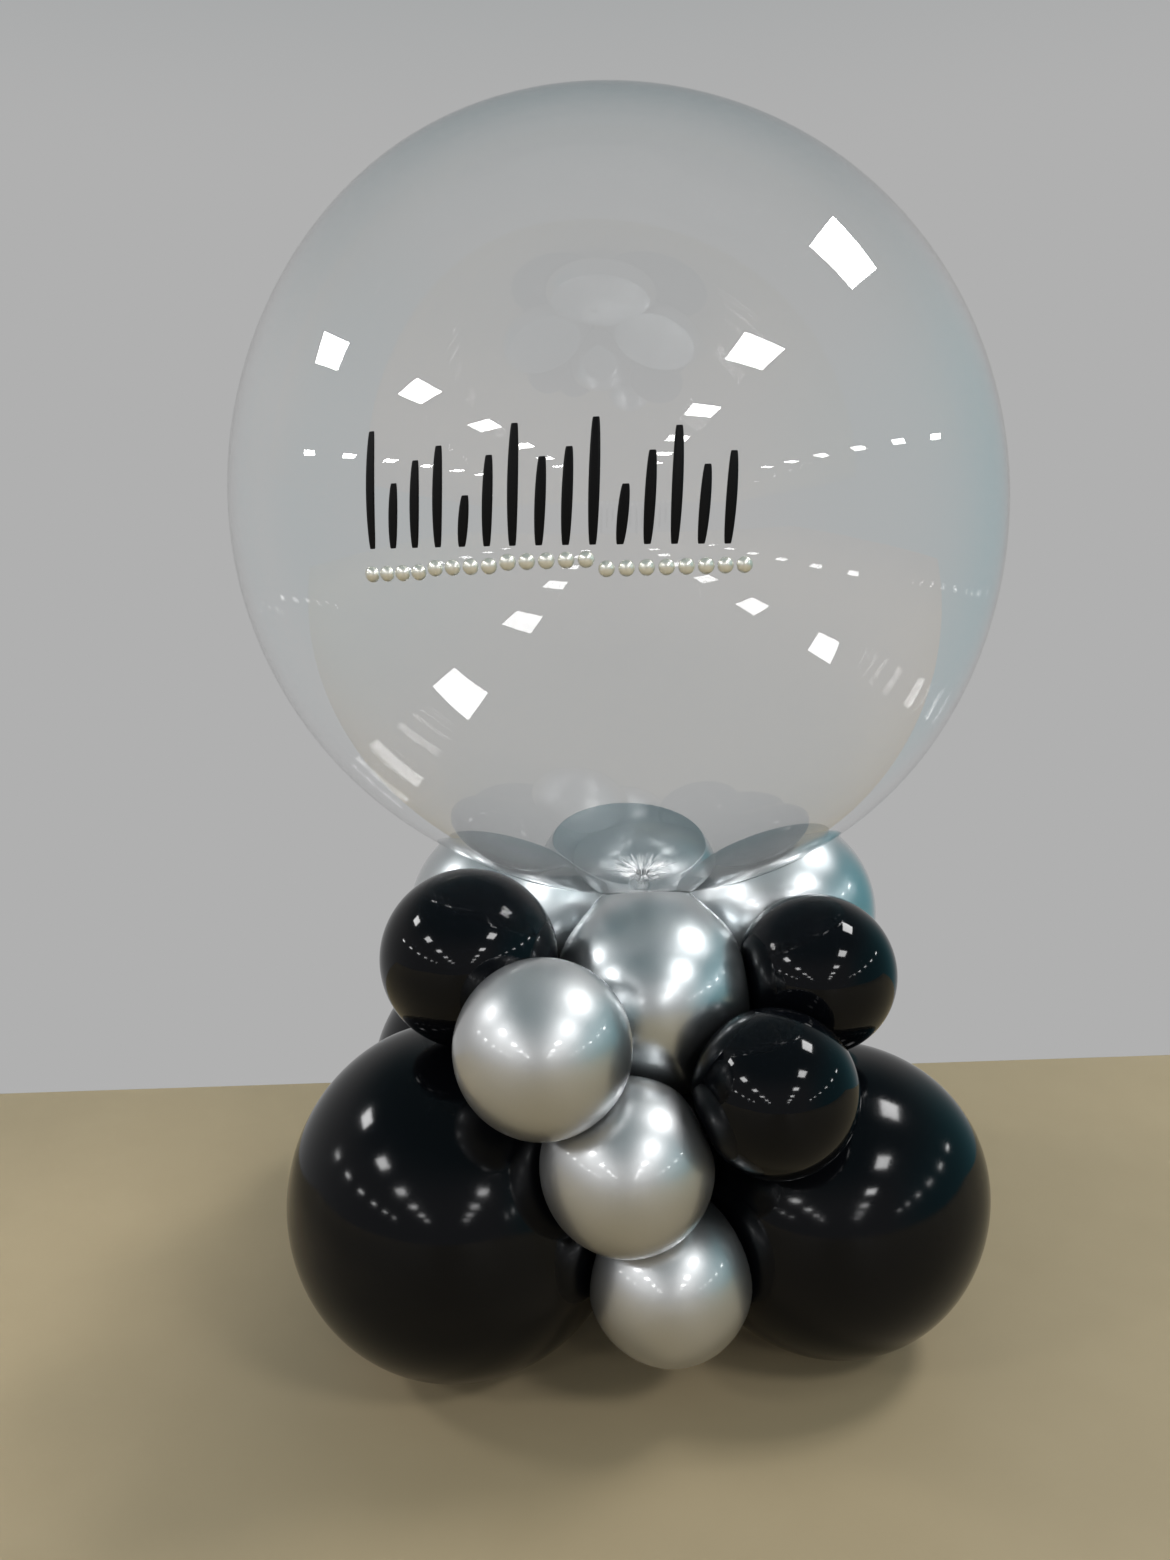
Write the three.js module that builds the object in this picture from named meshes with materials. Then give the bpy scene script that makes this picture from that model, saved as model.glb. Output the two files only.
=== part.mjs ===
// A table centrepiece made of balloons: a clear bubble balloon with a row of black vinyl strokes and
// half-pearls on its front, sitting on a collar of four silver balloons, a base of four large black
// ones, and a tumbling cascade of six small silver and black ones down the front.
//
// Millimetres, +Z up. The origin is on the table, under the middle of the whole piece; the front
// with the strokes and the cascade faces -Y.
import * as THREE from 'three';

// ---------------------------------------------------------------- driving sizes
const SKIN_GAP = 0.2; // each skin stops this far short of a wall that it shares with a neighbour
const FOOT_SHARE = 0.95; // how much of the flat on the table is left after its edge has rolled
const PEAR_SPREAD = 0.09; // how wide the pear tail of a latex balloon is
const DISH_GAP = 0.8; // the collar stops this far short of the bubble
const FIRMNESS = 30; // how tight the roll of a latex skin is beside a contact; higher is tighter
const RIM_FIRMNESS = 60; // the same at the rim of the dish that the bubble presses
const NEAR = 1.35; // balloons closer than this many times their radii together share a wall
const TOUCH_PASSES = 6; // rounds of finding where a way meets the bubble
const STEEPEST = 0.05; // a wall is left out where a way meets it at a slant flatter than this cosine

const VINYL = { lift: 0.5, thickness: 0.5, width: 5.4, tip: 2.8, lean: 3.5, steps: 4 };
const PEARL = { radius: 4.1, height: 3.9, lift: 0.4, shoulder: [0.78, 0.62], sides: 8 };

// The bubble's neck is drawn in to a stub that goes down between the collar balloons.
const NECK = { radius: 3.6, drop: 12, flare: 0.15, overlap: 3, stub: 12, waist: 0.7, tail: 4.6 };
const TIE = { inner: 4.1, outer: 6.6, height: 4.5, place: 0.4, sides: 8, turns: 16 };

// The neck hangs in a cup in the side of the back balloon: how far below the film's end its middle
// is aimed, how deep it leaves the balloon, how wide it is in radians and how steep its flank is.
const CUP = { below: 4, depth: 29.5, spread: 0.2, flank: 500 };

// ---------------------------------------------------------------- finishes
const CLEAR_FILM = { color: 0xe9eef0, roughness: 0.03, metalness: 0, transparent: true, opacity: 0.25 };
const BLACK_LATEX = { color: 0x0c0d10, roughness: 0.16, metalness: 0 };
const SILVER_LATEX = { color: 0xa9abac, roughness: 0.28, metalness: 0.9 };
const BLACK_VINYL = { color: 0x141416, roughness: 0.45, metalness: 0 };
const CREAM_PEARL = { color: 0xe8e2d2, roughness: 0.22, metalness: 0 };

const toward = (x, y, z) => new THREE.Vector3(x, y, z).normalize();

// ---------------------------------------------------------------- the bubble
const bubble = {
  name: 'clear_bubble',
  finish: CLEAR_FILM,
  centre: new THREE.Vector3(-2, 0, 548.6),
  radius: 250.8,
  knot: new THREE.Vector3(14, 50, 281.2),
  bulges: [
    { toward: toward(0.56, 0, -0.83), by: 16, spread: 0.3 },
    { toward: toward(-0.47, 0, 0.88), by: 6.7, spread: 0.13 },
  ],
};
bubble.knotWay = bubble.knot.clone().sub(bubble.centre).normalize();

// ---------------------------------------------------------------- the latex balloons
// Each one is a ball with its knot turned to the hub of its ring, where a slight pear tail points.
const BASE_HUB = new THREE.Vector3(8, 5, 125);
const COLLAR_HUB = new THREE.Vector3(12, -2, 205);
const CASCADE_HUB = new THREE.Vector3(10, -40, 190);

function latex(name, finish, radius, [x, y, z], hub, tail, bulges = []) {
  const centre = new THREE.Vector3(x, y, z);
  const knotWay = hub.clone().sub(centre).normalize();
  const pear = { toward: knotWay, by: tail * radius, spread: PEAR_SPREAD };
  return { name, finish, radius, centre, knotWay, bulges: [pear, ...bulges] };
}

const base = [
  latex('base_balloon_front_left', BLACK_LATEX, 111, [-117, -101, 108.5], BASE_HUB, 0.12,
    [{ toward: toward(-0.3, -0.1, 1), by: 3, spread: 0.3 }]),
  latex('base_balloon_front_right', BLACK_LATEX, 99, [124, -96, 97.5], BASE_HUB, 0.12,
    [{ toward: toward(0.85, -0.1, 0.5), by: 6, spread: 0.25 }]),
  latex('base_balloon_back_left', BLACK_LATEX, 107, [-101, 99, 105], BASE_HUB, 0.12),
  latex('base_balloon_back_right', BLACK_LATEX, 99, [93, 95, 97], BASE_HUB, 0.12),
];

const collar = [
  latex('collar_balloon_left', SILVER_LATEX, 72, [-84, 2, 268], COLLAR_HUB, 0.3),
  latex('collar_balloon_right', SILVER_LATEX, 71, [106, 0, 265], COLLAR_HUB, 0.3),
  latex('collar_balloon_front', SILVER_LATEX, 64, [11, -104, 242.5], COLLAR_HUB, 0.3,
    [{ toward: toward(0, 1, 0.5), by: 34, spread: 0.15 }]),
  latex('collar_balloon_back', SILVER_LATEX, 74, [4, 87, 262], COLLAR_HUB, 0.3),
];

const cascade = [
  latex('cascade_balloon_black_upper_left', BLACK_LATEX, 55.4, [-102.6, -113, 274], CASCADE_HUB, 0.15),
  latex('cascade_balloon_silver_left', SILVER_LATEX, 50.5, [-55.6, -194, 245.7], CASCADE_HUB, 0.15),
  latex('cascade_balloon_silver_middle', SILVER_LATEX, 51, [-10, -182.4, 168], CASCADE_HUB, 0.15),
  latex('cascade_balloon_silver_low', SILVER_LATEX, 50.6, [14.3, -163, 84.6], CASCADE_HUB, 0.15),
  latex('cascade_balloon_black_right', BLACK_LATEX, 48.7, [77, -176, 206.6], CASCADE_HUB, 0.15),
  latex('cascade_balloon_black_upper_right', BLACK_LATEX, 50.6, [115.5, -101, 251.8], CASCADE_HUB, 0.15),
];

// Two neighbours share the flat wall where their balls would cross, as soft balloons do.
function shareWalls(balloons) {
  for (const balloon of balloons) {
    balloon.walls = [];
    for (const other of balloons) {
      const way = other.centre.clone().sub(balloon.centre);
      const apart = way.length();
      if (other === balloon || apart > NEAR * (balloon.radius + other.radius)) continue;
      const crossing = (apart ** 2 + balloon.radius ** 2 - other.radius ** 2) / (2 * apart);
      balloon.walls.push({ toward: way.normalize(), distance: crossing - SKIN_GAP });
    }
  }
}

// The neck and its tie hang in a cup in the side of one balloon of the collar.
function cutCup(balloon) {
  const hung = bubble.knot.clone().addScaledVector(bubble.knotWay, CUP.below);
  balloon.cup = hung.sub(balloon.centre).normalize();
}

function cupReach(balloon, way) {
  const past = Math.acos(Math.min(way.dot(balloon.cup), 1)) - CUP.spread;
  return CUP.depth + Math.max(past, 0) * CUP.flank;
}

// ---------------------------------------------------------------- how far a skin reaches
function freeReach(balloon, way) {
  let reach = balloon.radius;
  for (const bulge of balloon.bulges) {
    reach += bulge.by * Math.exp((way.dot(bulge.toward) - 1) / bulge.spread);
  }
  return reach;
}

// The film runs into the neck in a short flare.
function bubbleReach(way) {
  return freeReach(bubble, way) + NECK.drop * Math.exp(-way.angleTo(bubble.knotWay) / NECK.flare);
}

function softLeast(lengths, firmness) {
  const sum = lengths.reduce((total, length) => total + length ** -firmness, 0);
  return sum ** (-1 / firmness);
}

// The distance along a way from a collar balloon's centre to the bubble, or null where it misses.
function reachToBubble(balloon, way) {
  const offset = balloon.centre.clone().sub(bubble.centre);
  let radius = bubble.radius;
  let distance = null;
  for (let pass = 0; pass < TOUCH_PASSES; pass += 1) {
    const along = offset.dot(way);
    const left = along ** 2 - offset.lengthSq() + (radius + DISH_GAP) ** 2;
    if (left < 0 || along > 0) return null;
    distance = -along - Math.sqrt(left);
    const touch = offset.clone().addScaledVector(way, distance).normalize();
    radius = bubbleReach(touch);
  }
  return distance;
}

function latexReach(balloon, way) {
  const lengths = [freeReach(balloon, way)];
  for (const wall of balloon.walls) {
    const closing = way.dot(wall.toward);
    if (closing > STEEPEST) lengths.push(wall.distance / closing);
  }
  let reach = softLeast(lengths, FIRMNESS);
  const toBubble = reachToBubble(balloon, way);
  if (toBubble !== null) reach = softLeast([reach, toBubble], RIM_FIRMNESS);
  if (balloon.cup) reach = Math.min(reach, cupReach(balloon, way));
  if (way.z < 0) reach = Math.min(reach, -balloon.centre.z / way.z);
  return reach;
}

// ---------------------------------------------------------------- closed meshes
function closedMesh(name, finish, points, faces) {
  const geometry = new THREE.BufferGeometry();
  geometry.setAttribute('position', new THREE.Float32BufferAttribute(points.flatMap((p) => p.toArray()), 3));
  geometry.setIndex(faces.flat());
  geometry.computeVertexNormals();
  const mesh = new THREE.Mesh(geometry, new THREE.MeshStandardMaterial(finish));
  mesh.name = name;
  return mesh;
}

// A skin of rings of points around a pole: first a cap point, then the rings, then a cap point.
function ringMesh(name, finish, firstCap, rings, lastCap) {
  const sides = rings[0].length;
  const points = [firstCap, ...rings.flat(), lastCap];
  const last = points.length - 1;
  const faces = [];
  for (let side = 0; side < sides; side += 1) {
    const next = (side + 1) % sides;
    faces.push([0, 1 + next, 1 + side]);
    for (let ring = 0; ring < rings.length - 1; ring += 1) {
      const near = 1 + ring * sides;
      const far = near + sides;
      faces.push([near + side, near + next, far + next], [near + side, far + next, far + side]);
    }
    const end = 1 + (rings.length - 1) * sides;
    faces.push([end + side, end + next, last]);
  }
  return closedMesh(name, finish, points, faces);
}

// Two directions square to a pole, so that turning from the first to the second is right-handed.
function squareTo(pole) {
  const helper = Math.abs(pole.z) > 0.9 ? new THREE.Vector3(0, 1, 0) : new THREE.Vector3(0, 0, 1);
  const first = new THREE.Vector3().crossVectors(helper, pole).normalize();
  return [first, new THREE.Vector3().crossVectors(pole, first)];
}

function wayFrom(pole, tilt, turn) {
  const [first, second] = squareTo(pole);
  const way = pole.clone().multiplyScalar(Math.cos(tilt));
  way.addScaledVector(first, Math.sin(tilt) * Math.cos(turn));
  return way.addScaledVector(second, Math.sin(tilt) * Math.sin(turn));
}

function steps(from, to, count) {
  return Array.from({ length: count }, (_, i) => from + ((to - from) * (i + 1)) / (count + 1));
}

function skinMesh(balloon, reach, pole, tilts, sides) {
  const at = (way) => balloon.centre.clone().addScaledVector(way, reach(way));
  const turns = Array.from({ length: sides }, (_, i) => (2 * Math.PI * i) / sides);
  const rings = tilts.map((tilt) => turns.map((turn) => at(wayFrom(pole, tilt, -turn))));
  return ringMesh(balloon.name, balloon.finish, at(pole), rings, at(pole.clone().negate()));
}

// ---------------------------------------------------------------- the pieces
function makeBase(balloon) {
  const down = new THREE.Vector3(0, 0, -1);
  const foot = FOOT_SHARE * Math.acos(balloon.centre.z / balloon.radius);
  const tilts = [foot, ...steps(foot, Math.PI, 10)];
  return skinMesh(balloon, (way) => latexReach(balloon, way), down, tilts, 24);
}

// The rings run round the dish, with one on its rim.
function makeCollar(balloon) {
  const up = bubble.centre.clone().sub(balloon.centre);
  const apart = up.length();
  up.normalize();
  const pressed = bubbleReach(up.clone().negate()) + DISH_GAP;
  const cosine = (apart ** 2 + balloon.radius ** 2 - pressed ** 2) / (2 * apart * balloon.radius);
  const rim = Math.acos(cosine);
  const tilts = [...steps(0, rim, 2), rim, ...steps(rim, Math.PI, 8)];
  if (balloon.cup) return makeCupped(balloon);
  return skinMesh(balloon, (way) => latexReach(balloon, way), up, tilts, 22);
}

// The rings run round the cup.
function makeCupped(balloon) {
  const edge = CUP.spread + 0.06;
  const tilts = [0.5 * CUP.spread, CUP.spread, edge, ...steps(edge, Math.PI, 10)];
  return skinMesh(balloon, (way) => latexReach(balloon, way), balloon.cup, tilts, 22);
}

function makeCascade(balloon) {
  return skinMesh(balloon, (way) => latexReach(balloon, way), balloon.knotWay, steps(0, Math.PI, 9), 18);
}

// The stub goes on from the flare, past the tie, to a wider tail.
function makeBubble() {
  const sides = 36;
  const way = bubble.knotWay;
  const [first, second] = squareTo(way);
  const neckTop = bubbleReach(way) - NECK.overlap;
  const turns = Array.from({ length: sides }, (_, i) => (-2 * Math.PI * i) / sides);
  const stubRing = (drop, radius) => turns.map((turn) => {
    const point = bubble.centre.clone().addScaledVector(way, neckTop + drop);
    point.addScaledVector(first, radius * Math.cos(turn));
    return point.addScaledVector(second, radius * Math.sin(turn));
  });
  const at = (direction) => bubble.centre.clone().addScaledVector(direction, bubbleReach(direction));
  const ringAt = (tilt) => turns.map((turn) => at(wayFrom(way, tilt, turn)));
  const neckTilts = [0.045, 0.085, 0.14];
  const tilts = [...neckTilts, ...steps(neckTilts[2], Math.PI, 17)];
  const rings = [
    stubRing(NECK.stub, NECK.tail),
    stubRing(NECK.waist * NECK.stub, NECK.radius),
    stubRing(0, NECK.radius),
    ...tilts.map(ringAt),
  ];
  const tailEnd = bubble.centre.clone().addScaledVector(way, neckTop + NECK.stub);
  return ringMesh(bubble.name, bubble.finish, tailEnd, rings, at(way.clone().negate()));
}

// A black ring of tightly wound elastic round the stub.
function makeNeckTie() {
  const middle = (TIE.inner + TIE.outer) / 2;
  const profile = Array.from({ length: TIE.sides + 1 }, (_, i) => {
    const turn = (2 * Math.PI * (i % TIE.sides)) / TIE.sides;
    const across = ((TIE.outer - TIE.inner) / 2) * Math.cos(turn);
    return new THREE.Vector2(middle + across, (TIE.height / 2) * Math.sin(turn));
  });
  const mesh = new THREE.Mesh(
    new THREE.LatheGeometry(profile, TIE.turns),
    new THREE.MeshStandardMaterial(BLACK_LATEX),
  );
  mesh.name = 'bubble_neck_tie';
  mesh.quaternion.setFromUnitVectors(new THREE.Vector3(0, -1, 0), bubble.knotWay);
  const along = bubbleReach(bubble.knotWay) - NECK.overlap + TIE.place * NECK.stub;
  mesh.position.copy(bubble.centre).addScaledVector(bubble.knotWay, along);
  return mesh;
}

// ---------------------------------------------------------------- on the front of the bubble
// A place on the front: `across` to the right of the middle and `up` from it, along the film.
function onFront(across, up, lift) {
  const turn = across / bubble.radius;
  const rise = up / bubble.radius;
  const level = Math.cos(rise);
  const way = new THREE.Vector3(Math.sin(turn) * level, -Math.cos(turn) * level, Math.sin(rise));
  return bubble.centre.clone().addScaledVector(way, freeReach(bubble, way) + lift);
}

// The strokes stand side by side on a line that falls a little to the right, each to its own height.
const STROKE_ROW = { from: -133, to: 49, footFrom: -27, footTo: -31 };
const STROKE_HEADS = [30, 4, 14, 20, -4, 14, 28, 12, 16, 29, -2, 13, 24, 6, 12];

function makeStroke(head, index, heads) {
  const along = index / (heads.length - 1);
  const across = THREE.MathUtils.lerp(STROKE_ROW.from, STROKE_ROW.to, along);
  const foot = THREE.MathUtils.lerp(STROKE_ROW.footFrom, STROKE_ROW.footTo, along);
  const top = VINYL.lift + VINYL.thickness;
  const rings = [];
  for (let step = 0; step <= VINYL.steps; step += 1) {
    const t = step / VINYL.steps;
    const up = THREE.MathUtils.lerp(foot, head, t);
    const swell = Math.sqrt(Math.sin(Math.PI * t));
    const middle = across + VINYL.lean * (t - 0.5);
    const half = THREE.MathUtils.lerp(VINYL.tip, VINYL.width, swell) / 2;
    rings.push([
      onFront(middle - half, up, VINYL.lift),
      onFront(middle - half, up, top),
      onFront(middle + half, up, top),
      onFront(middle + half, up, VINYL.lift),
    ]);
  }
  const faces = [];
  for (let step = 0; step < VINYL.steps; step += 1) {
    for (let side = 0; side < 4; side += 1) {
      const corner = step * 4 + side;
      const next = step * 4 + ((side + 1) % 4);
      faces.push([corner, next, next + 4], [corner, next + 4, corner + 4]);
    }
  }
  const end = VINYL.steps * 4;
  faces.push([0, 2, 1], [0, 3, 2], [end, end + 1, end + 2], [end, end + 2, end + 3]);
  return closedMesh(`vinyl_stroke_${String(index + 1).padStart(2, '0')}`, BLACK_VINYL, rings.flat(), faces);
}

// The pearls are laid by hand in a line that wanders a little: [how many, how high].
const PEARL_RUNS = [[4, -39.5], [4, -37.8], [5, -36.3], [8, -41]];
const PEARL_ROW = { from: -136.7, to: 55.9 };

function makePearls() {
  const heights = PEARL_RUNS.flatMap(([count, up]) => Array(count).fill(up));
  const pitch = (PEARL_ROW.to - PEARL_ROW.from) / (heights.length - 1);
  return heights.map((up, index) => {
    const foot = onFront(PEARL_ROW.from + pitch * index, up, PEARL.lift);
    const out = foot.clone().sub(bubble.centre).normalize();
    const [first, second] = squareTo(out);
    const ring = (radius, height) => Array.from({ length: PEARL.sides }, (_, i) => {
      const turn = (2 * Math.PI * i) / PEARL.sides;
      const point = foot.clone().addScaledVector(out, height);
      point.addScaledVector(first, radius * Math.cos(turn));
      return point.addScaledVector(second, radius * Math.sin(turn));
    });
    const [narrower, higher] = PEARL.shoulder;
    const rings = [ring(PEARL.radius, 0), ring(narrower * PEARL.radius, higher * PEARL.height)];
    const crown = foot.clone().addScaledVector(out, PEARL.height);
    return ringMesh(`pearl_${String(index + 1).padStart(2, '0')}`, CREAM_PEARL, foot, rings, crown);
  });
}

// ---------------------------------------------------------------- the centrepiece
shareWalls([...base, ...collar, ...cascade]);
cutCup(collar[3]);

const centrepiece = new THREE.Group();
centrepiece.name = 'bubble_balloon_centrepiece';
centrepiece.add(makeBubble());
centrepiece.add(makeNeckTie());
centrepiece.add(...base.map(makeBase));
centrepiece.add(...collar.map(makeCollar));
centrepiece.add(...cascade.map(makeCascade));
centrepiece.add(...STROKE_HEADS.map(makeStroke));
centrepiece.add(...makePearls());

export default centrepiece;
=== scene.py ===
"""The looks of a balloon centrepiece: a clear bubble balloon with black vinyl strokes and
half-pearls, on a collar, a base and a cascade of silver and black latex balloons. Metres, +Z up,
front to -Y."""

import math

import bpy
import numpy as np
from mathutils import Matrix, Vector


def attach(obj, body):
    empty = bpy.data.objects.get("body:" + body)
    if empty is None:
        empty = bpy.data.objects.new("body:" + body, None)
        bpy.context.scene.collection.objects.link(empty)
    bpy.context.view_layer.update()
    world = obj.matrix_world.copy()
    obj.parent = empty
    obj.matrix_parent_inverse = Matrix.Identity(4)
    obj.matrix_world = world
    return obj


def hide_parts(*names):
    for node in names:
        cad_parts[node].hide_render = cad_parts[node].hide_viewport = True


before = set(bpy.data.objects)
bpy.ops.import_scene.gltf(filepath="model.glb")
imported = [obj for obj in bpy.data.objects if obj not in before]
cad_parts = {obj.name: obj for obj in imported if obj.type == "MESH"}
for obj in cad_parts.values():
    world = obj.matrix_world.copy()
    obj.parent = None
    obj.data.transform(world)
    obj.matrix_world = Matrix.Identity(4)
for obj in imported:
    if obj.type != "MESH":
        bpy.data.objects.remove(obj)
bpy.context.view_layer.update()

MM = 0.001

# ------------------------------------------------------------------ how soft skins press on each other
SKIN_GAP = 0.15 * MM  # each latex skin stops this far short of a wall shared with a neighbour
DISH_GAP = 0.4 * MM  # the collar stops this far short of the film
FIRMNESS = 30  # how tight the roll of a skin is beside a contact
RIM_FIRMNESS = 400  # the same at the rim of the dish that the film presses
NEAR = 1.35  # balloons closer than this many times their radii together share a wall
STEEPEST = 0.05  # flatter than this cosine, a wall is too far off to matter
PEAR_SPREAD = 0.09  # how widely a balloon tapers towards its knot
TOUCH_PASSES = 8  # rounds of finding where a way from a balloon meets the film
FAR = 10  # a way that misses the film is given this many radii
LEVEL = 0.001 * MM  # a point nearer to the floor than this stands on it

# The neck flares out of the film, is held by the tie and ends in an open tail.
NECK = {"radius": 3.6 * MM, "drop": 12 * MM, "flare": 0.15, "overlap": 3 * MM, "stub": 12 * MM,
        "tail": 4.6 * MM}
# The neck and its tie hang in a cup in the side of the back balloon of the collar.
CUP = {"below": 4 * MM, "depth": 29.5 * MM, "spread": 0.2, "flank": 500 * MM}


def unit(*parts):
    way = np.array(parts, dtype=float)
    return way / np.linalg.norm(way)


# ------------------------------------------------------------------ the bubble and the balloons
class Ball:
    """A blown-up skin: its middle, its radius, where its knot points, and where it is fuller."""

    def __init__(self, node, radius, middle, hub, bulges):
        self.node = node
        self.radius = radius * MM
        self.middle = np.array(middle) * MM
        self.knot = np.array(hub) * MM
        self.knot_way = unit(*(self.knot - self.middle))
        self.bulges = [(unit(*way), by * MM, spread) for way, by, spread in bulges]
        self.walls = []
        self.cup = None

    def free_reach(self, ways):
        reach = np.full(len(ways), self.radius)
        for way, by, spread in self.bulges:
            reach = reach + by * np.exp((ways @ way - 1) / spread)
        return reach


def latex(node, radius, middle, hub, tail, bulges=()):
    """A latex balloon, which tapers to its knot by a share of its radius."""
    ball = Ball(node, radius, middle, hub, bulges)
    ball.bulges.append((ball.knot_way, tail * ball.radius, PEAR_SPREAD))
    return ball


bubble = Ball("clear_bubble", 250.8, (-2, 0, 548.6), (14, 50, 281.2),
              [((0.56, 0, -0.83), 16, 0.3), ((-0.47, 0, 0.88), 6.7, 0.13)])

# Where the knots of each group are tied together, in millimetres.
BASE_HUB = (8, 5, 125)
COLLAR_HUB = (12, -2, 205)
CASCADE_HUB = (10, -40, 190)

base = [
    latex("base_balloon_front_left", 111, (-117, -101, 108.5), BASE_HUB, 0.12,
          [((-0.3, -0.1, 1), 3, 0.3)]),
    latex("base_balloon_front_right", 99, (124, -96, 97.5), BASE_HUB, 0.12,
          [((0.85, -0.1, 0.5), 6, 0.25)]),
    latex("base_balloon_back_left", 107, (-101, 99, 105), BASE_HUB, 0.12),
    latex("base_balloon_back_right", 99, (93, 95, 97), BASE_HUB, 0.12),
]
collar = [
    latex("collar_balloon_left", 72, (-84, 2, 268), COLLAR_HUB, 0.3),
    latex("collar_balloon_right", 71, (106, 0, 265), COLLAR_HUB, 0.3),
    latex("collar_balloon_front", 64, (11, -104, 242.5), COLLAR_HUB, 0.3, [((0, 1, 0.5), 34, 0.15)]),
    latex("collar_balloon_back", 74, (4, 87, 262), COLLAR_HUB, 0.3),
]
cascade = [
    latex("cascade_balloon_black_upper_left", 55.4, (-102.6, -113, 274), CASCADE_HUB, 0.15),
    latex("cascade_balloon_silver_left", 50.5, (-55.6, -194, 245.7), CASCADE_HUB, 0.15),
    latex("cascade_balloon_silver_middle", 51, (-10, -182.4, 168), CASCADE_HUB, 0.15),
    latex("cascade_balloon_silver_low", 50.6, (14.3, -163, 84.6), CASCADE_HUB, 0.15),
    latex("cascade_balloon_black_right", 48.7, (77, -176, 206.6), CASCADE_HUB, 0.15),
    latex("cascade_balloon_black_upper_right", 50.6, (115.5, -101, 251.8), CASCADE_HUB, 0.15),
]


def share_walls(balls):
    """Two neighbours share the flat wall where their balls would cross."""
    for ball in balls:
        for other in balls:
            way = other.middle - ball.middle
            apart = np.linalg.norm(way)
            if other is ball or apart > NEAR * (ball.radius + other.radius):
                continue
            crossing = (apart**2 + ball.radius**2 - other.radius**2) / (2 * apart)
            ball.walls.append((way / apart, crossing - SKIN_GAP))


def cut_cup(ball):
    """Turns a balloon's cup to where the neck hangs."""
    ball.cup = unit(*(bubble.knot + CUP["below"] * bubble.knot_way - ball.middle))


def cup_reach(ball, ways):
    """How far a cupped balloon reaches: the flat of its cup, then a steep flank."""
    past = np.arccos(np.clip(ways @ ball.cup, -1, 1)) - CUP["spread"]
    return CUP["depth"] + np.clip(past, 0, None) * CUP["flank"]


def soft_least(lengths, firmness):
    """The least of several lengths, with a rounded change from one to the next."""
    least = np.minimum.reduce(lengths)
    return least * sum((length / least) ** -float(firmness) for length in lengths) ** (-1 / firmness)


def film_reach(ways):
    """How far the bubble's film is from its middle, with the short flare into the neck."""
    tilt = np.arccos(np.clip(ways @ bubble.knot_way, -1, 1))
    return bubble.free_reach(ways) + NECK["drop"] * np.exp(-tilt / NECK["flare"])


def reach_to_film(ball, ways):
    """The distance from a balloon's middle to the film along each way, far off where it misses."""
    offset = ball.middle - bubble.middle
    along = ways @ offset
    radius = np.full(len(ways), bubble.radius)
    far = np.full(len(ways), FAR * ball.radius)
    distance = far
    for _ in range(TOUCH_PASSES):
        left = along**2 - offset @ offset + (radius + DISH_GAP) ** 2
        meets = (left > 0) & (along < 0)
        distance = np.where(meets, -along - np.sqrt(np.abs(left)), far)
        touch = offset + ways * distance[:, None]
        touch /= np.linalg.norm(touch, axis=1)[:, None]
        radius = np.where(meets, film_reach(touch), radius)
    return distance


def reach_to_walls(ball, ways):
    """A balloon's own skin, rounded off against the flat walls that it shares."""
    reach = ball.free_reach(ways) ** -float(FIRMNESS)
    for wall, distance in ball.walls:
        closing = ways @ wall
        facing = closing > STEEPEST
        along = distance / np.where(facing, closing, 1)
        reach = reach + np.where(facing, along ** -float(FIRMNESS), 0)
    return reach ** (-1 / FIRMNESS)


def latex_reach(ball, ways):
    """How far a balloon's skin is from its middle: free, walled, dished, cupped and flat-footed."""
    reach = soft_least([reach_to_walls(ball, ways), reach_to_film(ball, ways)], RIM_FIRMNESS)
    if ball.cup is not None:
        reach = np.minimum(reach, cup_reach(ball, ways))
    down = ways[:, 2] < 0
    return np.where(down, np.minimum(reach, -ball.middle[2] / np.where(down, ways[:, 2], -1)), reach)


# ------------------------------------------------------------------ skins made of rings round a pole
def square_to(pole):
    """Two unit ways that are square to a pole and to each other."""
    helper = np.array([0, 1, 0]) if abs(pole[2]) > 0.9 else np.array([0, 0, 1])
    first = np.cross(helper, pole)
    first /= np.linalg.norm(first)
    return first, np.cross(pole, first)


def ways_round(pole, tilts, sides):
    """Unit ways in rings round a pole, as an array of rings by sides by 3. There is one ring for each
    tilt, which is one number or one for each side."""
    tilts = np.reshape(tilts, (len(tilts), -1, 1))
    first, second = square_to(pole)
    turns = -2 * math.pi * np.arange(sides) / sides
    round_ = np.cos(turns)[:, None] * first + np.sin(turns)[:, None] * second
    return np.cos(tilts) * pole + np.sin(tilts) * round_


def ring_faces(rings, sides, start=0):
    """Faces of a closed skin whose points are a cap, then the rings in order, then a cap."""
    pairs = [(side, (side + 1) % sides) for side in range(sides)]
    first = start + 1
    last = first + rings * sides
    faces = [(start, first + b, first + a) for a, b in pairs]
    for ring in range(rings - 1):
        near = first + ring * sides
        far = near + sides
        faces += [(near + a, near + b, far + b, far + a) for a, b in pairs]
    near = first + (rings - 1) * sides
    faces += [(near + a, near + b, last) for a, b in pairs]
    return faces


def steps(start, end, count):
    """Even steps between two values, without either of them."""
    return start + (end - start) * np.arange(1, count + 1) / (count + 1)


def plain_mesh(name, points, faces, material):
    mesh = bpy.data.meshes.new(name)
    mesh.from_pydata([tuple(p) for p in points], [], faces)
    mesh.update()
    mesh.shade_smooth()
    mesh.materials.append(material)
    piece = bpy.data.objects.new(name, mesh)
    bpy.context.collection.objects.link(piece)
    return piece


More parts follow.
